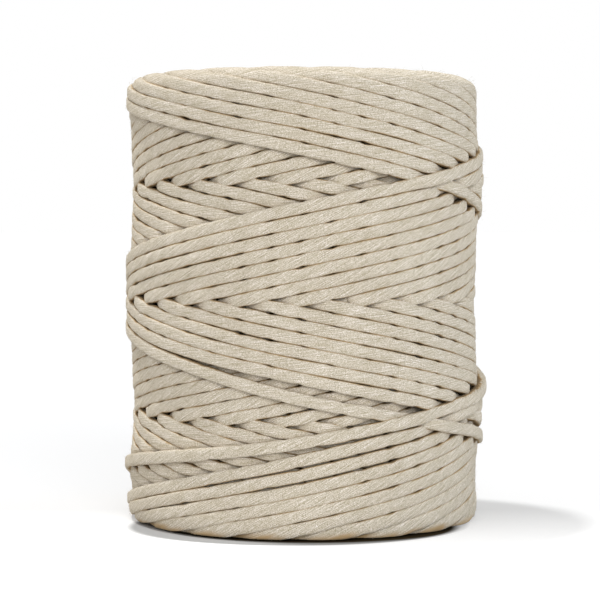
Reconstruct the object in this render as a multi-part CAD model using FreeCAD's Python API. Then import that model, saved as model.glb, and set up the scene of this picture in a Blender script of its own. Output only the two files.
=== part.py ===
"""A spool of soft cotton cord, cross-wound on a cardboard tube.

The origin is at the middle of the spool's foot, on the surface that it stands on, and +Z runs up
the tube. Lengths are in millimetres, and angles are in radians unless a name says otherwise.

Three solids make the spool. The tube runs right through. The buried layers of cord are one plain
ring round it. The outer layer is one unbroken length of cord that climbs and descends the spool,
turning back at each end, so that the turns cross as they do on the wound spool.
"""

import math
import os

import FreeCAD
import Part

# Driving dimensions
spool_diameter = 110.6        # over the cords where they cross
spool_height = 137.0          # the tube's full length
tube_bore = 38.0              # the hole that a peg goes into
tube_wall = 3.0               # cardboard
tube_edge_round = 0.4         # the tube's cut edges are slightly burnished
cord_diameter = 3.7           # a 4 mm cord as the winding tension leaves it
end_recess = 0.9              # the tube stands this far proud of the wound cord at each end
shoulder_round = 4.5          # the buried layers' rounded rim
bore_rim_round = 1.2          # where the buried layers meet the tube
end_dish = 1.6                # how far the wound ends sink towards the tube
wound_clearance = 0.15        # between the tube and the cord wound on it
layer_clearance = 0.15        # between the buried layers and the turns over them
crossing_clearance = 0.5      # between one turn and the next where they cross
strokes = 6                   # times that the cord climbs and descends again
turns_a_stroke = 4            # turns in one climb and descent, less a share of a turn
turn_back_deg = 26.0          # how far round the spool the cord takes to level out at an end
first_turn_deg = 90.0          # where the outer layer starts, counted from +X: the back
steps_a_climb = 8             # quarter turns in a climb, between the places where it levels out

# Worked out from them
tube_radius = tube_bore / 2 + tube_wall
upper_radius = (spool_diameter - cord_diameter) / 2
lower_radius = upper_radius - cord_diameter - crossing_clearance
core_radius = lower_radius - cord_diameter / 2 - layer_clearance
wound_bottom = end_recess
wound_top = spool_height - end_recess
stroke_angle = 2 * math.pi * (turns_a_stroke - 1 / strokes)
climb_angle = stroke_angle / 2
turn_back = math.radians(turn_back_deg)
lowest_turn = wound_bottom + cord_diameter / 2
highest_turn = wound_top - cord_diameter / 2
rise_per_radian = (highest_turn - lowest_turn) / (climb_angle - turn_back)


def build_core_tube():
    """A plain cardboard tube with its cut edges rounded."""
    outside = Part.makeCylinder(tube_radius, spool_height)
    hole = Part.makeCylinder(tube_bore / 2, spool_height)
    tube = outside.cut(hole)
    cut_edges = [edge for edge in tube.Edges if is_level_circle(edge)]
    return tube.makeFillet(tube_edge_round, cut_edges)


def is_level_circle(edge):
    """True for a circle that lies in a level plane, and not for a seam."""
    box = edge.BoundBox
    return box.ZLength < 0.01 and box.XLength > 1.0


def build_inner_winding():
    """The buried layers as one ring: a rounded rim, and ends that sink a little to the tube."""
    inside = tube_radius + wound_clearance
    dished_top = wound_top - end_dish
    dished_bottom = wound_bottom + end_dish
    rim = core_radius - shoulder_round
    corner = shoulder_round * (1 - math.sqrt(0.5))

    def at(radius, height):
        return FreeCAD.Vector(radius, 0, height)

    outline = [
        Part.LineSegment(at(inside, dished_bottom), at(rim, wound_bottom)),
        Part.Arc(
            at(rim, wound_bottom),
            at(core_radius - corner, wound_bottom + corner),
            at(core_radius, wound_bottom + shoulder_round),
        ),
        Part.LineSegment(
            at(core_radius, wound_bottom + shoulder_round), at(core_radius, wound_top - shoulder_round)
        ),
        Part.Arc(
            at(core_radius, wound_top - shoulder_round),
            at(core_radius - corner, wound_top - corner),
            at(rim, wound_top),
        ),
        Part.LineSegment(at(rim, wound_top), at(inside, dished_top)),
        Part.LineSegment(at(inside, dished_top), at(inside, dished_bottom)),
    ]
    section = Part.Face(Part.Wire([curve.toShape() for curve in outline]))
    ring = section.revolve(FreeCAD.Vector(0, 0, 0), FreeCAD.Vector(0, 0, 1), 360)
    bore_rims = [
        edge
        for edge in ring.Edges
        if is_level_circle(edge) and edge.BoundBox.XLength < 2 * inside + 0.1
    ]
    return ring.makeFillet(bore_rim_round, bore_rims)


def climb_stations():
    """Angles along one climb, from one levelled turn to the next, where the route is worked out."""
    run = (climb_angle - 2 * turn_back) / steps_a_climb
    return [0.0] + [turn_back + run * step for step in range(steps_a_climb + 1)]


def place_on_route(stroke, climbing, angle):
    """The point and the direction of the cord, at an angle along one climb or one descent.

    The height levels out as a parabola at each end and rises steadily between. A climb rides
    over the descents, and the cord changes from one radius to the other as it turns back.
    """
    to_end = min(angle, climb_angle - angle)
    if to_end < turn_back:
        travelled = rise_per_radian * to_end * to_end / (2 * turn_back)
        steepness = rise_per_radian * to_end / turn_back
    else:
        travelled = rise_per_radian * (to_end - turn_back / 2)
        steepness = rise_per_radian
    share = min(to_end / turn_back, 1.0)
    middle_radius = (upper_radius + lower_radius) / 2
    half_change = (upper_radius - lower_radius) / 2 * (1 if climbing else -1)
    radius = middle_radius + half_change * share * (3 - share * share) / 2
    widening = half_change * 1.5 * (1 - share * share) / turn_back
    in_first_half = angle <= climb_angle / 2
    if not in_first_half:
        widening = -widening
    if climbing:
        height = lowest_turn + travelled if in_first_half else highest_turn - travelled
        rising = steepness
    else:
        height = highest_turn - travelled if in_first_half else lowest_turn + travelled
        rising = -steepness
    turned = math.radians(first_turn_deg) + stroke * stroke_angle + angle
    if not climbing:
        turned += climb_angle
    outward = FreeCAD.Vector(math.cos(turned), math.sin(turned), 0)
    along = FreeCAD.Vector(-math.sin(turned), math.cos(turned), 0)
    upward = FreeCAD.Vector(0, 0, 1)
    point = outward * radius + upward * height
    direction = outward * widening + along * radius + upward * rising
    return point, direction.normalize()


def route_of_outer_winding():
    """Points and directions along the whole outer layer, about a quarter turn apart.

    The first and the last levelled stretch are left off, because there the cord ends.
    """
    route = []
    for stroke in range(strokes):
        for climbing in (True, False):
            for angle in climb_stations():
                route.append(place_on_route(stroke, climbing, angle))
    return route[1:]


def double_arc(start, start_direction, end, end_direction):
    """Two arcs that leave start and reach end in the given directions and meet smoothly."""
    chord = end - start
    both = start_direction + end_direction
    square = 2 * (start_direction.dot(end_direction) - 1)
    slope = -2 * chord.dot(both)
    whole = chord.dot(chord)
    if abs(square) < 1e-9:
        reach = -whole / slope
    else:
        reach = (-slope - math.sqrt(slope * slope - 4 * square * whole)) / (2 * square)
    first_corner = start + start_direction * reach
    second_corner = end - end_direction * reach
    meeting = (first_corner + second_corner) / 2
    return [
        arc_to_corner(start, first_corner, meeting),
        arc_to_corner(meeting, second_corner, end),
    ]


def arc_to_corner(start, corner, end):
    """The arc from start to end that is tangent to the lines from each of them to the corner."""
    middle = (start + end) / 2
    half = (end - start).Length / 2
    height = (corner - middle).Length
    side = math.hypot(half, height)
    crown = half * height / (side + half)
    top = middle + (corner - middle).normalize() * crown
    return Part.Arc(start, top, end)


def build_outer_winding():
    """One length of cord carried along the double arcs, with a straight end of one diameter."""
    route = route_of_outer_winding()
    first_point, first_direction = route[0]
    last_point, last_direction = route[-1]
    tip = first_point - first_direction * cord_diameter
    tail = last_point + last_direction * cord_diameter
    curves = [Part.LineSegment(tip, first_point)]
    for (start, start_direction), (end, end_direction) in zip(route, route[1:]):
        curves += double_arc(start, start_direction, end, end_direction)
    curves.append(Part.LineSegment(last_point, tail))
    spine = Part.Wire([curve.toShape() for curve in curves])
    section = Part.Wire(Part.Circle(tip, first_direction, cord_diameter / 2).toShape())
    cord = spine.makePipeShell([section], True, False)
    expected = math.pi * (cord_diameter / 2) ** 2 * spine.Length
    print("outer winding: length %.1f mm in %.2f turns" % (spine.Length, count_turns()))
    print("outer winding: volume is %.5f of section times length" % (cord.Volume / expected))
    print("outer winding: least radius %.1f mm" % least_radius(curves))
    print("outer winding: least gap to itself %.2f mm" % least_gap(curves))
    return cord


def count_turns():
    """How many times the outer layer goes round the spool."""
    return (strokes * stroke_angle - turn_back) / (2 * math.pi)


def least_radius(curves):
    """The tightest bend of the route."""
    return 1 / max(curve.curvature(curve.FirstParameter) for curve in curves)


def least_gap(curves):
    """The smallest gap between the cord's surface and itself, from points along its middle."""
    spacing = 1.0
    near_along = 4 * cord_diameter
    cell = cord_diameter * 2
    points = []
    travelled = 0.0
    for curve in curves:
        length = curve.length()
        count = max(1, round(length / spacing))
        for step in range(count):
            share = step / count
            first, last = curve.FirstParameter, curve.LastParameter
            points.append((curve.value(first + (last - first) * share), travelled + length * share))
        travelled += length
    cells = {}
    for point, along in points:
        key = (int(point.x // cell), int(point.y // cell), int(point.z // cell))
        cells.setdefault(key, []).append((point, along))
    closest = 10 * cord_diameter
    for (i, j, k), members in cells.items():
        around = [
            other
            for di in (-1, 0, 1)
            for dj in (-1, 0, 1)
            for dk in (-1, 0, 1)
            for other in cells.get((i + di, j + dj, k + dk), [])
        ]
        for point, along in members:
            for other_point, other_along in around:
                if other_along - along > near_along:
                    closest = min(closest, point.distanceToPoint(other_point))
    return closest - cord_diameter


def main():
    os.makedirs("parts", exist_ok=True)
    solids = {
        "core_tube": build_core_tube(),
        "inner_winding": build_inner_winding(),
        "outer_winding": build_outer_winding(),
    }
    for name, solid in solids.items():
        print("%s: valid %s, solids %d, volume %.1f" % (name, solid.isValid(), len(solid.Solids), solid.Volume))
        solid.exportStep(os.path.join("parts", name + ".step"))


main()
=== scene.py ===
"""A spool of soft cotton cord, dressed over the frame: a cardboard tube, the cord wound on it
crosswise from the tube outwards, its loose fibres, and the plain studio that it stands in."""

import bpy
import numpy as np
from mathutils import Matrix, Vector


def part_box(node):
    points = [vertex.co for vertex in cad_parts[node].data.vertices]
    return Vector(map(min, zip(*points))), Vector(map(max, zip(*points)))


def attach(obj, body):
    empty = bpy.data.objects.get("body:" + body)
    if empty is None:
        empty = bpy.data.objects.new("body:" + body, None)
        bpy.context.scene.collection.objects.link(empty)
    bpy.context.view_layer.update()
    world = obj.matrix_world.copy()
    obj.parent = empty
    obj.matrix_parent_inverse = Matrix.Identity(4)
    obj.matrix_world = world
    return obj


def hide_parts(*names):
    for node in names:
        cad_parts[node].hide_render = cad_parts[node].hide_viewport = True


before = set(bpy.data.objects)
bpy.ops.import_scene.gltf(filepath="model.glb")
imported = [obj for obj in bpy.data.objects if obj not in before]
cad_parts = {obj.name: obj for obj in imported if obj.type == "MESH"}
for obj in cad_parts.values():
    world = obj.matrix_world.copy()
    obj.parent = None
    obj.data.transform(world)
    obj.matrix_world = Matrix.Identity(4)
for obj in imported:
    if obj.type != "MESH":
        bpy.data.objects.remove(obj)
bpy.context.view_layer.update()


# Core tube: a plain tube of grey-brown board, wound from strips of paper on the slant and glued.
# It keeps its CAD shape. The strips' edges show as one slanting seam, and the plies at each end.

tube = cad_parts["core_tube"]
tube_far_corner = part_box("core_tube")[1]
tube_outside = tube_far_corner[0]
spool_height = tube_far_corner[2]


class Nodes:
    """Adds nodes to a tree. An input is given by name or number: a socket of another node is linked
    to it, and anything else is set on it."""

    def __init__(self, tree):
        """Keeps the tree that the nodes go into."""
        self.tree = tree

    def add(self, kind, inputs=None, **settings):
        """A node of a kind, with its properties set and its inputs filled."""
        node = self.tree.nodes.new(kind)
        for name, value in settings.items():
            setattr(node, name, value)
        for name, value in (inputs or {}).items():
            if isinstance(value, bpy.types.NodeSocket):
                self.tree.links.new(value, node.inputs[name])
            else:
                node.inputs[name].default_value = value
        return node

    def maths(self, operation, *values):
        """The result of an operation on up to three values."""
        return self.add("ShaderNodeMath", dict(enumerate(values)), operation=operation).outputs[0]

    def ramp(self, value, start, end, low=0.0, high=1.0, **settings):
        """A value carried from one range to another, and held at the other's ends."""
        inputs = {0: value, 1: start, 2: end, 3: low, 4: high}
        return self.add("ShaderNodeMapRange", inputs, **settings).outputs[0]

    def noise(self, at, scale, detail, roughness=0.5):
        """Noise about one half, read at a place."""
        inputs = {0: at, "Scale": scale, "Detail": detail, "Roughness": roughness}
        return self.add("ShaderNodeTexNoise", inputs).outputs[0]

    def mixed(self, share, first, second, **settings):
        """Two colours mixed by a share of the second."""
        inputs = {0: share, 6: first, 7: second}
        return self.add("ShaderNodeMix", inputs, data_type="RGBA", **settings).outputs[2]

    def surface(self, shader, colour, roughness, normal):
        """Links a surface's colour, roughness and normal to its shader."""
        for name, socket in (("Base Color", colour), ("Roughness", roughness), ("Normal", normal)):
            self.tree.links.new(socket, shader.inputs[name])


def new_material(name):
    """A new node material with its Principled shader, and the means to add nodes to it."""
    material = bpy.data.materials.new(name)
    material.use_nodes = True
    return material, material.node_tree.nodes["Principled BSDF"], Nodes(material.node_tree)


def board_material():
    """Board: its colour follows paper fibres, and a seam climbs the tube once in strip_rise.

    The seam is dark where the fraction of height / rise + angle / full turn is near nought, and the
    plies are rings of the distance from the axis, seen on the cut ends only."""
    strip_rise = 0.085
    ply = 0.00042
    darker_board = (0.40, 0.32, 0.225, 1)
    lighter_board = (0.47, 0.385, 0.28, 1)
    glue = (0.13, 0.095, 0.06, 1)
    material, shader, nodes = new_material("tube_board")
    place = nodes.add("ShaderNodeTexCoord").outputs["Object"]
    right, back, up = nodes.add("ShaderNodeSeparateXYZ", {0: place}).outputs
    turned = nodes.maths("DIVIDE", nodes.maths("ARCTAN2", back, right), 2 * np.pi)
    climbed = nodes.maths("DIVIDE", up, strip_rise)
    across = nodes.maths("FRACT", nodes.maths("ADD", turned, climbed))
    seam = nodes.ramp(across, 0.0, 0.012, 1.0, 0.0)
    level = nodes.add("ShaderNodeCombineXYZ", {0: right, 1: back}).outputs[0]
    from_axis = nodes.add("ShaderNodeVectorMath", {0: level}, operation="LENGTH").outputs["Value"]
    ring = nodes.maths("FRACT", nodes.maths("MULTIPLY", from_axis, 1.0 / ply))
    gap = nodes.ramp(ring, 0.0, 0.25, 1.0, 0.0)
    normal = nodes.add("ShaderNodeNewGeometry").outputs["True Normal"]
    upwards = nodes.add("ShaderNodeSeparateXYZ", {0: normal}).outputs[2]
    on_end = nodes.ramp(nodes.maths("ABSOLUTE", upwards), 0.8, 0.95)
    lines = nodes.maths("MAXIMUM", seam, nodes.maths("MULTIPLY", gap, on_end))
    stretched = nodes.add("ShaderNodeMapping", {0: place, 3: (1.0, 1.0, 0.25)}).outputs[0]
    fibres = nodes.noise(stretched, 1400.0, 4.0)
    patches = nodes.noise(place, 70.0, 3.0)
    mottle = nodes.mixed(patches, darker_board, lighter_board)
    flecks = nodes.ramp(fibres, 0.3, 0.7, 0.82, 1.12)
    flecked = nodes.mixed(1.0, mottle, flecks, blend_type="MULTIPLY")
    colour = nodes.mixed(nodes.maths("MULTIPLY", lines, 0.55), flecked, glue)
    sunk = nodes.maths("SUBTRACT", fibres, lines)
    bump = nodes.add("ShaderNodeBump", {"Height": sunk, "Strength": 0.35, "Distance": 0.0002})
    roughness = nodes.ramp(patches, 0.0, 1.0, 0.78, 0.92)
    nodes.surface(shader, colour, roughness, bump.outputs[0])
    shader.inputs["Specular IOR Level"].default_value = 0.25
    return material


tube.data.materials.clear()
tube.data.materials.append(board_material())


# Wound cord: one length of soft single-twist cotton, laid on the turning tube by a guide that
# climbs and descends. Each turn lies on what is under it, so the whole winding is laid here too.
# Four turns less a small share make a stroke, so each stroke lies one cord beside the last one.

cord_width = 0.00382
cord_depth = 0.0032
cord_spacing = 0.00376
foot_recess = 0.0002
top_recess = 0.0001
lowest_turn = foot_recess + cord_width / 2
highest_turn = spool_height - top_recess - cord_width / 2
tube_clearance = 0.0001
even_outside = 0.0539
turns_a_stroke = 4
turn_back = np.radians(22.0)
last_turn_back = np.radians(223.5)
layers = 5

shared_wobble = 0.00022
own_wobble = 0.00016
steady_near_end = 0.008
pushed_aside = 0.0005
pushed_at = 2.5
pushed_over = 0.6
underside_share = 0.8
slope_radius = 0.05
sinks_between_supports = 0.45
sags_from_taut = 0.35
unheld_hollow = 0.0005
evened_a_stroke = 0.5

grid_angle = np.radians(0.5)
grid_height = 0.0005
block = 4
rows_below = 10
rows_beside = 5
columns = int(round(2 * np.pi / grid_angle))
rows = block * (int(spool_height / grid_height / block) + 7)


def measure_stroke():
    """The rise in a radian and the angle of one climb, so that strokes lie one spacing apart.

    A stroke falls short of its whole turns by spacing / rise, and a climb is half a stroke. The rise
    is the height climbed over the climb's angle less one turn-back, in which the cord is level half
    the time. The two depend on each other, so they are worked out in turn a few times."""
    rise = 0.0109
    for _ in range(20):
        climb = np.pi * turns_a_stroke - cord_spacing / rise / 2
        rise = (highest_turn - lowest_turn) / (climb - turn_back)
    return rise, climb


rise, climb = measure_stroke()
rise_a_turn = 2 * np.pi * rise
strokes_a_layer = rise_a_turn / cord_spacing
strokes = int(round(layers * strokes_a_layer))
turn_thickness = (even_outside - tube_outside - tube_clearance) / (2 * layers)


def height_on_climb(angle):
    """Height of the guide at an angle from the foot of a climb: it starts and ends level as a
    parabola, and rises steadily between."""
    to_end = np.minimum(angle, climb - angle)
    levelling = rise * to_end**2 / (2 * turn_back)
    gone = np.where(to_end < turn_back, levelling, rise * (to_end - turn_back / 2))
    return np.where(angle < climb / 2, lowest_turn + gone, highest_turn - gone)


def front_phases(angle, height):
    """How stale each of the two crossing sets of turns is at a place: nought just behind its newest
    turn, and one just ahead of it, from the vertical distance to that turn over the rise in a turn."""
    newest_rising = height_of_newest(angle, True)
    newest_falling = height_of_newest(angle, False)
    rising = np.mod(newest_rising + cord_spacing / 2 - height, rise_a_turn) / rise_a_turn
    falling = np.mod(height - newest_falling + cord_spacing / 2, rise_a_turn) / rise_a_turn
    return rising, falling


def height_of_newest(angle, is_rising):
    """Height at an angle of the straight line along the last climb, or along the last descent."""
    from_turn_back = angle - last_turn_back
    start = lowest_turn - rise * turn_back / 2
    return start + rise * from_turn_back * (1 if is_rising else -1)


def inside_turn_backs(height):
    """How far a height is from the lowest or the highest turn, whichever is nearer."""
    return np.minimum(height - lowest_turn, highest_turn - height)


def smoothed(values, spread):
    """Values along the cord, averaged with a bell curve whose spread is counted in grid angles."""
    half = int(3 * spread)
    bell = np.exp(-0.5 * (np.arange(-half, half + 1) / spread) ** 2)
    return np.convolve(np.pad(values, half, mode="edge"), bell / bell.sum(), mode="valid")


def wander(angle, height, seed, waves=(2, 3, 5, 7, 9), waves_up=90):
    """A wobble between -1 and 1: a mean of sines of the angle round the spool and the height, with
    the named numbers of waves in a turn, and up to so many radians in a metre upwards."""
    rng = np.random.default_rng(seed)
    count = len(waves)
    total = np.zeros_like(angle)
    ups = rng.uniform(-waves_up, waves_up, count)
    phases = rng.uniform(0, 6.28, count)
    for wave, up, phase in zip(waves, ups, phases):
        total += np.sin(wave * angle + up * height + phase)
    return total / count


def map_column(angle):
    """The column of the map that an angle falls in."""
    return np.mod(np.round(angle / grid_angle).astype(int), columns)


def map_row(height):
    """The row of the map that a height falls in."""
    return np.round(height / grid_height).astype(int) + rows_below


def blurs():
    """Two matrices that spread a map of blocks over the map's own grid: a bell curve of the distance
    round the spool, and one of the distance up it."""
    spread_round = np.radians(9)
    spread_up = 0.0035
    block_column = (np.arange(columns // block) + 0.5) * block - 0.5
    block_row = (np.arange(rows // block) + 0.5) * block - 0.5
    round_gap = np.abs(np.arange(columns)[:, None] - block_column)
    round_gap = np.minimum(round_gap, columns - round_gap) * grid_angle
    up_gap = (block_row[:, None] - np.arange(rows)) * grid_height
    return np.exp(-0.5 * (round_gap / spread_round) ** 2), np.exp(-0.5 * (up_gap / spread_up) ** 2)


round_blur, up_blur = blurs()


def spread_out(values):
    """A map's means over square blocks of its grid, each spread over its surroundings."""
    blocks = values.reshape(columns // block, block, rows // block, block).mean(axis=(1, 3))
    return round_blur @ blocks @ up_blur


def even_surface(stroke, rising, falling):
    """The radius of an evenly packed winding after a stroke. Strokes count up to nought, the last.

    Each set of turns adds one thickness whenever its front passes, which is a whole number that
    steps up as strokes / strokes in a layer + staleness passes one. A slope of one thickness from
    front to front, which grows as the winding does, joins the steps into one spiral."""
    done = stroke / strokes_a_layer
    passed = np.floor(done + rising) + np.floor(done + falling) + 2 * layers
    grown = 1 + done / layers
    return tube_outside + tube_clearance + turn_thickness * (passed + grown * (1 - rising - falling))


def slack_of_last_turns(angle):
    """How far the last descent and climb stray from their line, by the angle since the last turn-back.

    The descent runs low over its last turn. The climb leaves the rim early and lies too flat, which
    opens a wedge beside it. Between the named places, given in degrees and in millimetres, the stray
    follows a smooth curve."""
    falling = [-420, -300, -290, -255, -240, -215, -195, -175, -140, -100, -20, 0]
    sags = [0, 0, -0.3, -0.7, -1.8, -2.5, -2.3, -1.7, -1.3, -0.7, 0, 0]
    rising = [12, 30, 47, 94, 119, 150, 180, 226, 280, 720]
    lifts = [1.2, 5.0, 8.0, 5.0, 3.0, 1.6, 0.6, -2.2, 0, 0]
    stray = np.interp(angle, np.radians(falling + rising), np.array(sags + lifts) / 1000)
    return smoothed(stray, 16)


def guided_height(angle, start, stroke, is_rising):
    """Height of the cord along one climb or descent of a stroke, the last of which is nought.

    The guide's own height wobbles in the same way in every stroke, and a little in each by itself. The
    last stroke is slack, and where its climb closes on its neighbours again, the two strokes before
    it are pushed aside by a bell curve of the angle."""
    gone = angle - start
    height = height_on_climb(gone if is_rising else climb - gone)
    ease = np.clip(inside_turn_backs(height) / steady_near_end, 0, 1)
    height = height + shared_wobble * ease * wander(angle, height, 5)
    height = height + own_wobble * ease * wander(angle * 1.5, height, 100 + stroke)
    since_last = angle - last_turn_back - stroke * 2 * np.pi * turns_a_stroke
    if stroke == 0:
        return height + slack_of_last_turns(since_last)
    if stroke > -3:
        return height + pushed_aside * (3 + stroke) * np.exp(-((since_last - pushed_at) / pushed_over) ** 2)
    return height


def ellipse(aside, width):
    """The square of an ellipse's height over its middle's: 1 - (2 x aside / width) squared."""
    return 1 - (2 * aside / width) ** 2


def hung_taut(supports, radius):
    """A taut cord over a row of supports: the least curve above them all that is made of straight runs.

    Seen from the axis a straight run curves outwards as radius x angle squared / 2. The highest such
    curve that each place forces is found, and then the lowest of them at each place."""
    farthest = 26
    steps = np.arange(-farthest, farthest + 1, 2)
    bend = radius * (steps * grid_angle) ** 2 / 2
    starts = steps + farthest
    count = len(supports)
    reach = np.pad(supports, farthest, mode="edge")
    forced = np.max([reach[start:start + count] - drop for start, drop in zip(starts, bend)], axis=0)
    reach = np.pad(forced, farthest, mode="edge")
    return np.min([reach[start:start + count] + drop for start, drop in zip(starts, bend)], axis=0)


def come_to_rest(under, touching):
    """The radius at which the cord's middle rests, and how firmly it is held there, from what each
    place across its underside forces.

    It sinks nearly half way from the highest place to the mean one, is hung taut, and is let sink a
    third of the way back. It is held less where it spans a hollow, and not at all over a deep one."""
    highest = np.where(touching, under, 0).max(axis=1)
    typical = (under * touching).sum(axis=1) / touching.sum(axis=1)
    forced = highest - sinks_between_supports * (highest - typical)
    taut = hung_taut(forced, forced.mean())
    radius = smoothed(taut - sags_from_taut * (taut - forced), 3)
    held = np.clip(1 - (taut - forced) / unheld_hollow, 0, 1)
    return radius, smoothed(held, 2)


def lay_cord():
    """Lays every climb and descent in turn on a map of the surface's radius, and returns the route.

    The cord rests with its underside, an ellipse narrowed to four fifths, on the map, and its upper
    side is written into the map. The newer the turns under it are, the less it is flattened. The
    pull of the cord above evens the winding out: after each stroke, half of the map's blurred
    difference from the even surface is taken away."""
    surface = np.full((columns, rows), tube_outside + tube_clearance)
    on_top = np.full((columns, rows), -1)
    map_angle, map_height = np.meshgrid(
        np.arange(columns) * grid_angle, (np.arange(rows) - rows_below) * grid_height, indexing="ij"
    )
    rising, falling = front_phases(map_angle, map_height)
    margin = 0.0004
    wound = (map_height > foot_recess + margin) & (map_height < spool_height - top_recess - margin)
    weight = spread_out(wound * 1.0) + 1e-9
    across = np.arange(-rows_beside, rows_beside + 1)
    upright = 1 / np.sqrt(1 + (rise / slope_radius) ** 2)
    route = {name: [] for name in ("angle", "height", "radius", "depth", "held", "stroke", "rising")}
    laid = 0
    for stroke in range(1 - strokes, 1):
        foot = last_turn_back + stroke * 2 * climb
        for is_rising in (False, True):
            start = foot if is_rising else foot - climb
            first_step = np.ceil(start / grid_angle)
            steps = np.arange(first_step, np.ceil((start + climb) / grid_angle)).astype(int)
            count = len(steps)
            angle = steps * grid_angle
            height = guided_height(angle, start, stroke, is_rising)
            stale = np.add(*front_phases(angle, height))
            depth = smoothed(cord_depth * (1 + (1 - stale) / (2 * layers)), 3)
            row = map_row(height)[:, None] + across
            column = np.mod(steps, columns)[:, None]
            aside = ((row - rows_below) * grid_height - height[:, None]) * upright
            narrow = np.clip(ellipse(aside, underside_share * cord_width), 0, None)
            under = surface[column, row] + depth[:, None] / 2 * np.sqrt(narrow)
            radius, held = come_to_rest(under, narrow > 0)
            full = ellipse(aside, cord_width)
            over = radius[:, None] + depth[:, None] / 2 * np.sqrt(np.clip(full, 0, None))
            before = surface[column, row]
            surface[column, row] = np.where(full > 0, np.maximum(before, over), before)
            number = laid + np.arange(count)
            on_top[column, row] = np.where(full > 0, number[:, None], on_top[column, row])
            laid += count
            parts = (angle, height, radius, depth, held, np.full(count, stroke), np.full(count, is_rising))
            for name, part in zip(route, parts):
                route[name].append(part)
        too_high = (surface - even_surface(stroke, rising, falling)) * wound
        surface -= evened_a_stroke * wound * spread_out(too_high) / weight
    route = {name: np.concatenate(parts) for name, parts in route.items()}
    top = on_top[map_column(route["angle"]), map_row(route["height"])]
    route["shows"] = top == np.arange(laid)
    return route


route = lay_cord()


# Settled winding: it is soft, so its stretches are eased into one another, the newest turns press in,
# the skin is pressed smoother, most of all near the ends, and both rims are pressed round. Where
# nothing presses on the cord it swells out.

top_rim = 0.0530
foot_rim = 0.0540
rim_reach = 0.0085
end_dish = 0.0016
step_pressed_in = 0.35
crossing_pressed_in = 0.0015
crossing_height = 0.0048
relief_kept = 0.6
rim_relief_kept = 0.1
relief_grows_over = 0.014
pressed_down_to = 0.02
rim_band = 0.003
dish_height = 0.03
fuller_side = 0.0009
bulging = 0.5
bulges_from_end = 0.008
bulge_grows_over = 0.006
eased_over = 60
end_dives = np.radians(36)
end_sinks = 1.4


def eased_joints(values, joints):
    """Closes the small steps between a descent and a climb: half the step is taken on each side, and
    fades out as the square of the distance from the turn-back."""
    step = (values[joints] - values[joints - 1])[:, None]
    along = np.arange(eased_over)
    fade = 0.5 * (1 - along / eased_over) ** 2
    values = values.copy()
    values[joints[:, None] + along] -= step * fade
    values[joints[:, None] - 1 - along] += step * fade
    return values


def skin_map(angle, height, crown):
    """The highest crown within half a cord of each place of the map, and nought where there is none."""
    skin = np.zeros((columns, rows))
    column, row = map_column(angle), map_row(height)
    for offset in range(-4, 5):
        np.maximum.at(skin, (column, row + offset), crown)
    return skin


def pressed_skin(angle, height, crown):
    """How far each place of the route moves when the skin over the winding is pressed smoother.

    A share of the skin's difference from its own blur is taken away, which grows from the middle of
    the spool to its ends. It is read at each place, and faded out below the skin."""
    skin = skin_map(angle, height, crown)
    wound = skin > 0
    weight = spread_out(wound * 1.0) + 1e-9
    level = spread_out(skin * wound) / weight
    lift = -(skin - level) * wound
    column, row = map_column(angle), map_row(height)
    below = skin[column, row] - crown
    from_rim = np.clip(inside_turn_backs(height) / relief_grows_over, 0, 1)
    kept = rim_relief_kept + (relief_kept - rim_relief_kept) * from_rim
    return lift[column, row] * (1 - kept) * np.clip(1 - below / pressed_down_to, 0, 1)


def rim_excess(angle, from_end, crown, wanted):
    """How far the rim stands over its wanted radius at each place: the highest crown near the end at
    that angle, smoothed round the spool, and faded out as the square of the distance from the end."""
    column = map_column(angle)
    near = from_end < rim_band
    highest = np.zeros(columns)
    np.maximum.at(highest, column[near], crown[near])
    level = smoothed(np.tile(highest, 3), 12)[columns:2 * columns]
    return (level - wanted)[column] * np.clip(1 - from_end / rim_reach, 0, 1) ** 2


def share_outwards(radius, outside):
    """Nought at the tube and one at the outside of the winding."""
    return np.clip((radius - tube_outside) / (outside - tube_outside), 0, 1)


def settle(angle, height, radius, depth):
    """Bends the finished winding, and everything at one place alike, by a share that grows outwards.

    It moves inwards by the freshness of both sets of turns, averaged over a cord's width, by the
    excess of the rims, and by a bell curve of the height at each row in which the turns of every
    stroke cross, where the winding is thickest. Its right side is a little fuller. Near an end it
    also moves towards the middle of the spool, the more the nearer it is to the tube."""
    share = share_outwards(radius, radius.max())
    offsets = np.linspace(-0.5, 0.5, 9) * cord_width
    stale = np.mean([np.add(*front_phases(angle, height + offset)) for offset in offsets], axis=0)
    pressed = step_pressed_in * turn_thickness * (1 - stale)
    for row in spool_height * np.arange(1, turns_a_stroke) / turns_a_stroke:
        pressed += crossing_pressed_in * np.exp(-((height - row) / crossing_height) ** 2)
    radius = radius + (fuller_side * np.clip(np.sin(angle), 0, 1) - pressed) * share
    crown = radius + depth / 2
    given = rim_excess(angle, highest_turn - height, crown, top_rim)
    given += rim_excess(angle, height - lowest_turn, crown, foot_rim)
    side = np.where(height > spool_height / 2, -1.0, 1.0)
    sunk = end_dish * (1 - share) * np.clip(1 - inside_turn_backs(height) / dish_height, 0, 1)
    return radius - given * share, height + side * sunk


def tucked_under():
    """The cord's end, which dives under its neighbours: it turns back as at a rim, and its radius falls
    by 1.4 of its depth along a smooth step, over a tenth of a turn."""
    places = int(round(end_dives / grid_angle))
    share = np.linspace(0, 1, places + 1)[1:]
    onward = share * end_dives
    tail = {name: np.repeat(values[-1:], places) for name, values in route.items()}
    tail["angle"] = tail["angle"] + onward
    tail["height"] = tail["height"] - rise * onward**2 / (2 * turn_back)
    tail["radius"] = tail["radius"] - end_sinks * cord_depth * share**2 * (3 - 2 * share)
    tail["shows"] = np.zeros(places, dtype=bool)
    return tail


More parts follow.
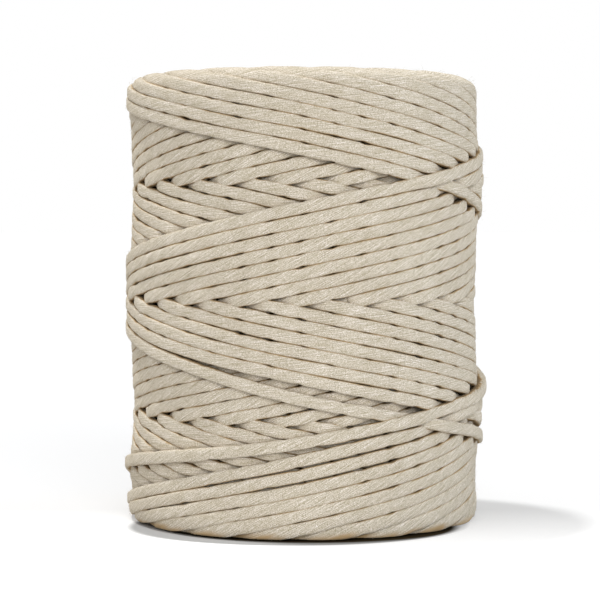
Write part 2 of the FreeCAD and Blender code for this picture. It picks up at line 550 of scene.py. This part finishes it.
joints = np.flatnonzero(np.diff(route["rising"].astype(int))) + 1
route["radius"] = eased_joints(smoothed(route["radius"], 1.5), joints)
route["height"] = eased_joints(route["height"], joints)
moves = pressed_skin(route["angle"], route["height"], route["radius"] + route["depth"] / 2)
route["radius"] = route["radius"] + smoothed(moves, 4)
route["radius"], route["height"] = settle(
    route["angle"], route["height"], route["radius"], route["depth"]
)
tail = tucked_under()
route = {name: np.concatenate([values, tail[name]]) for name, values in route.items()}
wound_outside = route["radius"].max()


def averaged_skin():
    """The skin's level at each place of the map: the highest crown, averaged over 5 mm of height."""
    skin = skin_map(route["angle"], route["height"], route["radius"] + route["depth"] / 2)
    near = range(-5, 6)
    total = np.sum([np.roll(skin, offset, axis=1) for offset in near], axis=0)
    return total / np.maximum(np.sum([np.roll(skin > 0, offset, axis=1) for offset in near], axis=0), 1)


skin_level = averaged_skin()


def from_spool_end(height):
    """How far a height is from the foot or the top of the spool, whichever is nearer."""
    return np.minimum(height, spool_height - height)


def bulge():
    """How far the cord swells out of the winding where nothing presses on it: a share of what it lies
    below the averaged skin, smoothed along it, and none near the ends."""
    level = skin_level[map_column(route["angle"]), map_row(route["height"])]
    below = level - route["radius"] - route["depth"] / 2
    inwards = from_spool_end(route["height"]) - bulges_from_end
    free = route["shows"] * np.clip(inwards / bulge_grows_over, 0, 1)
    return smoothed(bulging * below.clip(0, cord_depth) * free, 4)


route["radius"] = route["radius"] + bulge()


# Cord that shows: the outer layer, the layer under it, and the turns at both ends. It is soft cotton,
# so its neighbours press it nearly square, and it is made as closed tubes along the route. Layers
# that nothing hides are finely divided, and the buried ones coarsely.

section_width = 0.00388
squareness = 0.45
slot_share = 0.18
open_under_end = 0.0022
slack_narrows = 0.05
felted_groove = 0.4
felted_from_end = 0.018
# Painted shade in the cotton's colour: it grows with the depth below the skin, and turns dark below
# dark_from.
shade_depth = 0.0012
dark_from = 0.0056
dark_over = 0.0014
# The foot's cotton is browner over its last 4 mm down to the floor.
foot_darkening = 0.32
foot_darkening_fade = 0.0125
rim_outside = 0.0549
rim_height = 0.006
rim_flattened = 0.8
foot_sag = 0.0008
foot_sag_height = 0.005
least_height = 0.0005
shown_at_ends = 0.011


def depth_in_winding(angle, points):
    """How deep the points round each place of the cord lie: below the averaged skin, or below a level
    2.2 mm under the sunk end of the winding, down to which the turns of an end are open to the light."""
    radius = np.hypot(points[..., 0], points[..., 1])
    height = points[..., 2]
    row = np.clip(map_row(height), 0, rows - 1)
    from_side = skin_level[map_column(angle)[:, None], row] - radius
    open_down_to = end_dish * (1 - share_outwards(radius, wound_outside)) + open_under_end
    from_top = highest_turn + cord_width / 2 - open_down_to - height
    from_foot = height - (lowest_turn - cord_width / 2 + open_down_to)
    return np.minimum(from_side, np.minimum(from_top, from_foot))


def within_rims(points):
    """Flattens what stands out of the rounded rims: a fifth of the excess is left over the last 6 mm,
    and all of it 12 mm in. A rim falls inwards as the power 2.6 of the nearness to its end: at the
    top most on the right, and at the foot most on the left. The lowest turns sag and lie flat just
    over the floor, but hardly sag on the far left."""
    radius = np.hypot(points[..., 0], points[..., 1])
    height = points[..., 2]
    from_end = from_spool_end(height)
    rightwards = points[..., 0] / radius
    top_rounding = 0.0068 + 0.0010 * rightwards
    foot_rounding = 0.0021 - 0.0009 * rightwards
    rounding = np.where(height > spool_height / 2, top_rounding, foot_rounding)
    allowed = rim_outside - rounding * np.clip(1 - from_end / rim_height, 0, 1) ** 2.6
    near_end = np.clip((2 * rim_height - from_end) / rim_height, 0, 1)
    inwards = 1 - rim_flattened * np.clip(radius - allowed, 0, None) * near_end / radius
    sag = foot_sag * (1 - 2 * np.clip(-rightwards - 0.55, 0, 1))
    sagged = (height - sag * np.clip(1 - height / foot_sag_height, 0, 1)).clip(least_height)
    return np.stack([points[..., 0] * inwards, points[..., 1] * inwards, sagged], axis=-1)


def slots(angle, height, rising):
    """How far the groove at a place gapes, from nought to about one: most over the grooves of the turns
    that cross beneath, which come one spacing apart, and by a different share at each. Some grooves
    also gape a little along whole stretches."""
    fronts = front_phases(angle, height)
    crossing = np.where(rising, fronts[1], fronts[0]) * 2 * np.pi * rise / cord_spacing
    from_groove = np.mod(crossing + 0.5, 1) - 0.5
    share = np.clip(0.45 + 1.2 * wander(angle, height, 31, (17, 26, 37, 43, 58), 900), 0, 1.1)
    stretch = np.clip(0.7 * wander(angle, height, 57, (1, 2, 3, 4, 6), 900), 0, 0.4)
    return share * np.exp(-(from_groove / 0.19) ** 2) + stretch


def flattened(wave, power):
    """A sine or a cosine with its size raised to a power, so that a power under one squares a round."""
    return np.sign(wave) * np.abs(wave) ** power


def outward_at(angle):
    """The level direction away from the axis. The angle is nought at the front, and grows rightwards."""
    return np.stack([np.sin(angle), -np.cos(angle), np.zeros_like(angle)], axis=1)


def unit(vectors):
    """Each vector over its own length."""
    return vectors / np.linalg.norm(vectors, axis=1)[:, None]


def carried_along(middle, outward):
    """The outward and sideways directions of a section that is carried square to its route."""
    ahead = unit(np.gradient(middle, axis=0))
    outward = unit(outward - ahead * (outward * ahead).sum(axis=1)[:, None])
    return outward, np.cross(ahead, outward)


def swelling(length):
    """Uneven spinning: the width swells by 1.2% in slow waves and by 0.8% in quick ones, and the length
    of both kinds of waves drifts."""
    slow = 0.012 * np.sin(length / 0.011 + 2 * np.sin(length / 0.05))
    quick = 0.008 * np.sin(length / 0.0037 + 3 * np.sin(length / 0.013))
    return 1 + slow + quick


def cord_tube(take, sides):
    """The corners, faces and patterns of one stretch of the cord, through the named places of its route.

    The section is a squarish ellipse: across it is width / 2 x cos t to the power squareness, and
    outwards depth / 2 x sin t to that power. Each side draws in where its groove gapes. Groove shade,
    a painted shade that darkens the colour, grows from the crown to the sides, but no faster than the
    depth in the winding, and it is one on whatever lies deeper than the two outermost turns. Towards
    the rims the cords are rubbed together, so the painted groove shade and gaping fall to two fifths.
    The painted shade also grows a little over the last 4 mm down to the floor, so the foot is browner."""
    angle, height, radius, depth = (route[key][take] for key in ("angle", "height", "radius", "depth"))
    middle = outward_at(angle) * radius[:, None]
    middle[:, 2] = height
    outward, beside = carried_along(middle, outward_at(angle))
    below = sides // 3
    upper = np.linspace(0, np.pi, sides - below + 1)[:-1]
    t = np.concatenate([upper, np.linspace(np.pi, 2 * np.pi, below + 1)[:-1]])
    side_share = flattened(np.cos(t), squareness)
    out_share = flattened(np.sin(t), squareness)
    gaps = np.linalg.norm(np.diff(middle, axis=0), axis=1)
    length = np.concatenate([[0], np.cumsum(gaps)])
    width = section_width * swelling(length) * (1 - slack_narrows + slack_narrows * route["held"][take])
    gape_below = slots(angle, height - cord_spacing / 2, route["rising"][take])[:, None]
    gape_above = slots(angle, height + cord_spacing / 2, route["rising"][take])[:, None]
    from_end = np.clip(from_spool_end(height) / felted_from_end, 0, 1)
    felted = (felted_groove + (1 - felted_groove) * from_end)[:, None]
    gape = np.where(side_share > 0, gape_below, gape_above) * felted
    half_width = width[:, None] / 2 * (1 - slot_share * gape)
    points = within_rims(
        middle[:, None, :]
        + beside[:, None, :] * (half_width * side_share)[:, :, None]
        + outward[:, None, :] * (depth[:, None] / 2 * out_share)[:, :, None]
    )
    depth_in = depth_in_winding(angle, points)
    # Painted shade: the groove shade darkens the sides of the cord and whatever lies deep in the winding.
    groove_shade = np.minimum((1 - np.clip(out_share, 0, 1)) * felted, depth_in / shade_depth)
    groove_shade = np.maximum(groove_shade, (depth_in - dark_from) / dark_over).clip(0, 1)
    groove_shade = np.maximum(groove_shade, foot_darkening - points[..., 2] / foot_darkening_fade)
    around = np.append(t, t[0])
    across = flattened(np.cos(around), squareness) * cord_width / 2
    out = flattened(np.sin(around), squareness) * cord_depth / 2
    place = np.concatenate([[0], np.cumsum(np.hypot(np.diff(across), np.diff(out)))])
    return {
        "corners": np.concatenate([points.reshape(-1, 3), middle[[0, -1]]]),
        "groove_shade": np.append(groove_shade.ravel(), [1, 1]),
        **tube_faces(length, place),
    }


def tube_faces(length, place):
    """Faces of a closed tube of rings of corners, each end with one more corner in its middle. Their UV
    map is the length along the tube and the place round it, in metres."""
    rings = len(length)
    sides = len(place) - 1
    ring, side = np.meshgrid(np.arange(rings - 1), np.arange(sides), indexing="ij")
    first = ring * sides + side
    second = ring * sides + (side + 1) % sides
    run = np.stack([length[ring], length[ring + 1], length[ring + 1], length[ring]], axis=-1)
    turn = np.stack([place[side], place[side], place[side + 1], place[side + 1]], axis=-1)
    tips = rings * sides
    one = np.arange(sides)
    two = (one + 1) % sides
    start_cap = np.stack([np.full(sides, tips), one, two], axis=1)
    end_cap = np.stack([np.full(sides, tips + 1), tips - sides + two, tips - sides + one], axis=1)
    return {
        "quads": np.stack([first, first + sides, second + sides, second], axis=-1).reshape(-1, 4),
        "caps": np.concatenate([start_cap, end_cap]),
        "uv": np.stack([run.ravel(), turn.ravel()], axis=1),
    }


def cord_piece(name, stretches, sides):
    """One mesh of several stretches of the cord: their tubes' arrays, joined end to end."""
    tubes = [cord_tube(take, sides) for take in stretches]
    first = np.cumsum([0] + [len(tube["corners"]) for tube in tubes])
    corners = np.concatenate([tube["corners"] for tube in tubes])
    quads = np.concatenate([tube["quads"] + start for tube, start in zip(tubes, first)])
    caps = np.concatenate([tube["caps"] + start for tube, start in zip(tubes, first)])
    uv = np.concatenate([tube["uv"] for tube in tubes] + [np.zeros((caps.size, 2))])
    groove_shade = np.concatenate([tube["groove_shade"] for tube in tubes])
    return grid_piece(name, corners, quads, caps, uv, groove_shade)


def grid_piece(name, corners, quads, triangles, uv, groove_shade):
    """An object of four-sided and then three-sided faces, with its UV map and its values of groove shade, a
    painted shade.
    """
    mesh = bpy.data.meshes.new(name)
    mesh.vertices.add(len(corners))
    mesh.vertices.foreach_set("co", corners.astype(np.float32).ravel())
    mesh.loops.add(quads.size + triangles.size)
    mesh.loops.foreach_set("vertex_index", np.concatenate([quads.ravel(), triangles.ravel()]))
    starts = np.append(4 * np.arange(len(quads)), quads.size + 3 * np.arange(len(triangles)))
    mesh.polygons.add(len(starts))
    mesh.polygons.foreach_set("loop_start", starts)
    mesh.uv_layers.new(name="cord_run").data.foreach_set("uv", uv.astype(np.float32).ravel())
    groove_shade_attribute = mesh.attributes.new("groove_shade", "FLOAT", "POINT")
    groove_shade_attribute.data.foreach_set("value", groove_shade.astype(np.float32))
    mesh.update(calc_edges=True)
    mesh.validate()
    mesh.shade_smooth()
    piece = bpy.data.objects.new(name, mesh)
    bpy.context.scene.collection.objects.link(piece)
    return piece


def cotton_material():
    """Soft undyed cotton: fibres slant across the cord as they follow its twist.

    The patterns read the place along and round the cord. Each is noise stretched along lines on which
    round - slant x along stays the same. Fine fibres, broad strands, a close hatching of parallel
    lines and a grain all lighten and darken the cotton, and what is darker is also warmer. Short
    bright specks are painted glints of fibres that catch the light. A groove is painted with shade,
    brown and then dark with depth, and its painted shade is uneven from one stretch to the next."""
    slant = 0.34
    hatch_spacing = 0.00058
    darker_cotton = (0.590, 0.521, 0.413, 1)
    lighter_cotton = (0.700, 0.632, 0.518, 1)
    # Painted glint: specks are lightened towards this colour, as fibres that catch the light.
    painted_fibre_glint = (0.88, 0.84, 0.76, 1)
    # Painted shade: grooves are coloured brown at their edges and dark deeper in.
    painted_groove_brown = (0.492, 0.342, 0.180, 1)
    painted_groove_dark = (0.200, 0.112, 0.028, 1)
    material, shader, nodes = new_material("cord_cotton")
    run = nodes.add("ShaderNodeUVMap", uv_map="cord_run").outputs[0]
    along, around, _ = nodes.add("ShaderNodeSeparateXYZ", {0: run}).outputs
    over_slant = nodes.maths("MULTIPLY_ADD", along, -slant, around)

    def twisted(long, wide, detail):
        """Noise drawn out along the twist, so long and so wide in metres."""
        across = nodes.maths("MULTIPLY", over_slant, 1 / wide)
        down = nodes.maths("MULTIPLY", along, 1 / long)
        at = nodes.add("ShaderNodeCombineXYZ", {0: down, 1: across}).outputs[0]
        return nodes.noise(at, 1.0, detail, 0.65)

    fibres = twisted(0.0060, 0.00027, 0.0)
    strands = twisted(0.012, 0.0011, 1.0)
    glint_specks = twisted(0.0016, 0.00028, 0.0)
    place = nodes.add("ShaderNodeTexCoord").outputs["Object"]
    patches = nodes.noise(place, 60.0, 2.0)
    fuzz = nodes.noise(place, 4200.0, 0.0)
    straight = nodes.maths("MULTIPLY", over_slant, 2 * np.pi / hatch_spacing)
    hatching = nodes.maths("SINE", nodes.maths("MULTIPLY_ADD", strands, 9.0, straight))
    groove_shade = nodes.add("ShaderNodeAttribute", attribute_name="groove_shade").outputs["Fac"]
    uneven = nodes.ramp(twisted(0.030, 0.0035, 1.0), 0.3, 0.7, 0.7, 2.2)
    shade = nodes.maths("MULTIPLY", groove_shade, uneven)
    base = nodes.mixed(patches, darker_cotton, lighter_cotton)
    light = nodes.ramp(fibres, 0.25, 0.75, 0.82, 1.16)
    band = nodes.ramp(strands, 0.3, 0.7, 0.96, 1.03)
    grain = nodes.ramp(fuzz, 0.25, 0.75, 0.69, 1.28)
    hatch = nodes.ramp(hatching, -1.0, 1.0, 0.91, 1.08)
    whole = nodes.maths("MULTIPLY", light, band)
    whole = nodes.maths("MULTIPLY", whole, hatch)
    whole = nodes.maths("MULTIPLY", whole, grain)
    greens = nodes.maths("POWER", whole, 1.08)
    blues = nodes.maths("POWER", whole, 1.45)
    warmed = nodes.add("ShaderNodeCombineXYZ", {0: whole, 1: greens, 2: blues}).outputs[0]
    fibred = nodes.mixed(1.0, base, warmed, blend_type="MULTIPLY")
    specked = nodes.mixed(nodes.ramp(glint_specks, 0.70, 0.80, 0.0, 0.5), fibred, painted_fibre_glint)
    edge = nodes.ramp(shade, 0.14, 0.44, interpolation_type="SMOOTHSTEP")
    browned = nodes.mixed(edge, specked, painted_groove_brown)
    shaded_deep = nodes.ramp(shade, 0.36, 0.92, interpolation_type="SMOOTHSTEP")
    colour = nodes.mixed(shaded_deep, browned, painted_groove_dark)
    raised = nodes.maths("MULTIPLY_ADD", strands, 0.35, fibres)
    ragged = nodes.maths("MULTIPLY_ADD", fuzz, 0.35, raised)
    bump = nodes.add("ShaderNodeBump", {"Height": ragged, "Strength": 0.5, "Distance": 0.0004})
    roughness = nodes.ramp(fibres, 0.0, 1.0, 0.82, 0.98)
    nodes.surface(shader, colour, roughness, bump.outputs[0])
    shader.inputs["Specular IOR Level"].default_value = 0.15
    shader.inputs["Sheen Weight"].default_value = 0.25
    shader.inputs["Sheen Roughness"].default_value = 0.6
    shader.inputs["Sheen Tint"].default_value = (0.9, 0.78, 0.58, 1)
    return material


cotton = cotton_material()


def dress(piece, *cad_nodes):
    """Gives a piece of the winding its cotton and its body, and hides the CAD nodes that it stands for."""
    piece.data.materials.append(cotton)
    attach(piece, "root")
    if cad_nodes:
        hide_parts(*cad_nodes)


def first_place(stroke):
    """The place of the route at which a stroke begins, less half a climb, so that the change from one
    fineness to another is hidden at half height, and not open to the light at an end."""
    return np.flatnonzero(route["stroke"] == stroke)[0] - int(climb / grid_angle / 2)


def places_of(begin, end, step):
    """Every so-many-th place up to the end, and the end itself, where the next stretch begins."""
    return np.append(np.arange(begin, end, step), end)


def stretches_near(end_height):
    """The stretches of the buried cord that come near one end, as runs of places. Those of a few
    places are left out."""
    near = np.abs(route["height"][:covered_from] - end_height) < shown_at_ends
    edges = np.flatnonzero(np.diff(np.concatenate([[0], near.astype(int), [0]])))
    runs = zip(edges[::2], edges[1::2])
    return [np.arange(begin, end, 3) for begin, end in runs if end - begin > 12]


strokes_on_top = int(np.ceil(strokes_a_layer))
outer_from = -strokes_on_top
breaks = [first_place(outer_from + ahead) for ahead in (0, 4, 8, 12, 16)] + [len(route["angle"]) - 1]
for number, (begin, end) in enumerate(zip(breaks, breaks[1:]), 1):
    dress(cord_piece("outer_layer_%d" % number, [places_of(begin, end, 2)], 16), "outer_winding")

covered_from = first_place(outer_from - strokes_on_top)
dress(cord_piece("covered_layer", [places_of(covered_from, breaks[0], 6)], 8), "inner_winding")
dress(cord_piece("buried_turns_top", stretches_near(spool_height), 10), "inner_winding")
dress(cord_piece("buried_turns_foot", stretches_near(0.0), 10), "inner_winding")


# Heart of the winding: what is left between the buried turns, as one plain ring of packed cord. It
# shows only as the dark ground of the gaps between the turns: its cotton is painted with deep shade.

heart_outside = wound_outside - 2.4 * cord_depth
heart_clearance = 0.0002
heart_in_from_end = 0.0045
heart_painted_shade = 0.9


def heart_of_winding():
    """A ring turned from an outline: a rectangle whose corners are rounded with a power of cos and sin."""
    steps, sides = 180, 48
    t = np.linspace(0, 2 * np.pi, sides, endpoint=False)
    inside = tube_outside + heart_clearance
    half_depth = (heart_outside - inside) / 2
    half_height = spool_height / 2 - heart_in_from_end
    radius = inside + half_depth + half_depth * flattened(np.cos(t), 0.25)
    height = spool_height / 2 + half_height * flattened(np.sin(t), 0.25)
    turns = np.linspace(0, 2 * np.pi, steps, endpoint=False)
    corners = outward_at(turns)[:, None, :] * radius[:, None]
    corners[..., 2] = height
    corners = corners.reshape(-1, 3)
    i, j = np.meshgrid(np.arange(steps), np.arange(sides), indexing="ij")
    here, ahead, up = i * sides, (i + 1) % steps * sides, (j + 1) % sides
    quads = np.stack([here + j, ahead + j, ahead + up, here + up], axis=-1).reshape(-1, 4)
    uv = np.stack([corners[quads.ravel(), 2], turns[quads.ravel() // sides] * 0.05], axis=1)
    no_triangles = np.zeros((0, 3), dtype=int)
    groove_shade = np.full(len(corners), heart_painted_shade)
    return grid_piece("heart_of_winding", corners, quads, no_triangles, uv, groove_shade)


dress(heart_of_winding(), "inner_winding")


# Loose fibres: short ends of cotton that stand off the cord all over, finer than a hair. Each is a
# three-sided spike that leaves the cord along its twist and curls away from it.

fibre_count = 16000
fibre_thickness = 0.000045
fibre_root = 0.00005
fibre_floor = 0.0004
fibre_ceiling = spool_height + 0.0012
chance = np.random.default_rng(11)


def loose_fibres():
    """Spikes of two joints: root + t x length x lean + t squared x length x curl, at t of 0, 0.5 and 1."""
    shown = np.flatnonzero(route["shows"])
    at = np.sort(chance.choice(shown, fibre_count))
    t = chance.uniform(0.12, 0.88, fibre_count) * np.pi
    angle = route["angle"][at]
    outward = outward_at(angle)
    next_at = np.minimum(at + 1, len(route["angle"]) - 1)
    climbs = (route["height"][next_at] - route["height"][next_at - 1]) / grid_angle / route["radius"][at]
    along = unit(np.stack([np.cos(angle), np.sin(angle), climbs], axis=1))
    beside = np.cross(along, outward)
    side = section_width / 2 * flattened(np.cos(t), squareness)[:, None]
    out = (route["depth"][at] / 2 * flattened(np.sin(t), squareness))[:, None]
    root = outward * route["radius"][at][:, None]
    root[:, 2] = route["height"][at]
    root = root + beside * side + outward * (out - fibre_root)
    away = outward * np.sin(t)[:, None] + beside * np.cos(t)[:, None]
    length = chance.gamma(3.0, 0.00036, fibre_count)[:, None]
    sense = chance.choice([-1.0, 1.0], fibre_count)[:, None]
    lift = np.tan(np.radians(chance.gamma(2.0, 12.0, fibre_count).clip(3, 70)))[:, None]
    lean = unit(along * sense - beside * (0.3 * sense) + away * lift)
    curl = chance.normal(0, 0.35, (fibre_count, 3)) - away * 0.15
    half = root + length * (0.5 * lean + 0.25 * curl)
    tip = root + length * (lean + curl)
    across = unit(np.cross(lean, away))
    over = np.cross(across, lean)
    turns = np.radians([0, 120, 240])[:, None]
    spokes = across[:, None, :] * np.cos(turns) + over[:, None, :] * np.sin(turns)
    foot_ring = root[:, None, :] + spokes * fibre_thickness / 2
    half_ring = half[:, None, :] + spokes * fibre_thickness * 0.4
    corners = np.concatenate([foot_ring, half_ring, tip[:, None, :]], axis=1).reshape(-1, 3)
    corners[:, 2] = corners[:, 2].clip(fibre_floor, fibre_ceiling)
    start = 7 * np.arange(fibre_count)[:, None]
    quads = (start + [0, 1, 4, 3, 1, 2, 5, 4, 2, 0, 3, 5]).reshape(-1, 4)
    triangles = (start + [3, 4, 6, 4, 5, 6, 5, 3, 6, 0, 2, 1]).reshape(-1, 3)
    uv = np.zeros((quads.size + triangles.size, 2))
    return grid_piece("loose_fibres", corners, quads, triangles, uv, np.zeros(len(corners)))


dress(loose_fibres())


# Studio: a white floor that runs back out of sight under a white sky. A high light from behind on
# the left throws a short shadow forwards to the right, a low soft one from the front fills, and a
# faint cool one fills the right side.

floor_half = 30
# Painted contact shadow: the floor's paint under and just in front of the spool.
painted_contact_shadow = (0.046, 0.034, 0.018, 1)


def floor_material():
    """Matt white paint that glows for the camera only, so that the floor is white out of the shadow.

    Two ovals on the floor, a little in front of the spool's middle, hold a painted shade and a painted
    contact shadow in the dark gap under the spool. Inside the first the paint is darker, and outside it
    the floor glows, the more the nearer it is to the camera, so that the shadow is painted thinner
    forwards. Inside the second the paint is dark, a painted contact shadow."""
    material, shader, nodes = new_material("studio_floor")
    tree = material.node_tree
    tree.nodes.remove(shader)
    place = nodes.add("ShaderNodeTexCoord").outputs["Object"]
    backwards = nodes.add("ShaderNodeSeparateXYZ", {0: place}).outputs[1]

    def from_oval(right, back, half_across, half_deep):
        """How far a place is from an oval's middle, where its edge is one."""
        scale = (1 / half_across, 1 / half_deep, 0)
        centred = (-right / half_across, -back / half_deep, 0)
        at = nodes.add("ShaderNodeMapping", {0: place, 1: centred, 3: scale}).outputs[0]
        return nodes.add("ShaderNodeVectorMath", {0: at}, operation="LENGTH").outputs["Value"]

    # Painted shadow: inside the shade oval the paint is darker and the glow is held back, and the gap oval
    # is painted dark.
    shade = from_oval(-0.0029, -0.0232, 0.0497, 0.0372)
    gap = from_oval(0.0030, -0.0198, 0.0475, 0.0366)
    clear = nodes.ramp(shade, 0.96, 1.03, interpolation_type="SMOOTHSTEP")
    forwards = nodes.ramp(backwards, 0.012, -0.055, 0.26, 0.58)
    strength = nodes.maths("MULTIPLY", clear, forwards)
    beyond = nodes.ramp(gap, 0.94, 1.01)
    painted_shade_tone = nodes.ramp(clear, 0.0, 1.0, 0.42, 0.60)
    paint = nodes.mixed(beyond, painted_contact_shadow, painted_shade_tone)
    matt = nodes.add("ShaderNodeBsdfDiffuse", {0: paint}).outputs[0]
    glow = nodes.add("ShaderNodeEmission", {0: strength, 1: 1.0}).outputs[0]
    both = nodes.add("ShaderNodeAddShader", {0: matt, 1: glow}).outputs[0]
    from_camera = nodes.add("ShaderNodeLightPath").outputs["Is Camera Ray"]
    seen = nodes.add("ShaderNodeMixShader", {0: from_camera, 1: matt, 2: both}).outputs[0]
    tree.links.new(seen, tree.nodes["Material Output"].inputs["Surface"])
    return material


floor_mesh = bpy.data.meshes.new("studio_floor")
floor_corners = [(floor_half * x, floor_half * y, 0) for x, y in ((-1, -1), (1, -1), (1, 1), (-1, 1))]
floor_mesh.from_pydata(floor_corners, [], [(0, 1, 2, 3)])
floor_mesh.materials.append(floor_material())
floor = bpy.data.objects.new("studio_floor", floor_mesh)
bpy.context.scene.collection.objects.link(floor)

world = bpy.data.worlds.new("studio_air")
bpy.context.scene.world = world
world.use_nodes = True
air = Nodes(world.node_tree)
sky = world.node_tree.nodes["Background"]
seen_by_camera = air.add("ShaderNodeLightPath").outputs["Is Camera Ray"]
brightness = air.ramp(seen_by_camera, 0.0, 1.0, 0.58, 1.0)
world.node_tree.links.new(brightness, sky.inputs["Strength"])
sky.inputs["Color"].default_value = (1, 1, 1, 1)


def soft_sun(name, towards, strength, spread, colour=(1, 1, 1)):
    """A wide far lamp: it shines from a direction, given as right, back and up, over a spread in
    degrees."""
    lamp = bpy.data.lights.new(name, "SUN")
    lamp.energy = strength
    lamp.color = colour
    lamp.angle = np.radians(spread)
    stand = bpy.data.objects.new(name, lamp)
    stand.rotation_euler = Vector(towards).to_track_quat("Z", "Y").to_euler()
    bpy.context.scene.collection.objects.link(stand)


soft_sun("light_back_left", (-0.916, 0.40, 3.42), 1.7, 5)
soft_sun("light_front", (0.19, -1.0, 0.42), 1.36, 40)
soft_sun("light_right", (1.0, 0.1, 0.2), 0.36, 30, (0.26, 0.58, 1.0))

camera_data = bpy.data.cameras.new("camera")
camera_data.sensor_width = 36
camera_data.lens = 118.28
camera = bpy.data.objects.new("camera", camera_data)
camera.location = (-0.0008, -0.617, 0.0903)
camera.rotation_euler = (np.radians(90 - 2.106), 0, 0)
bpy.context.scene.collection.objects.link(camera)
bpy.context.scene.camera = camera
bpy.context.scene.view_settings.view_transform = "Standard"
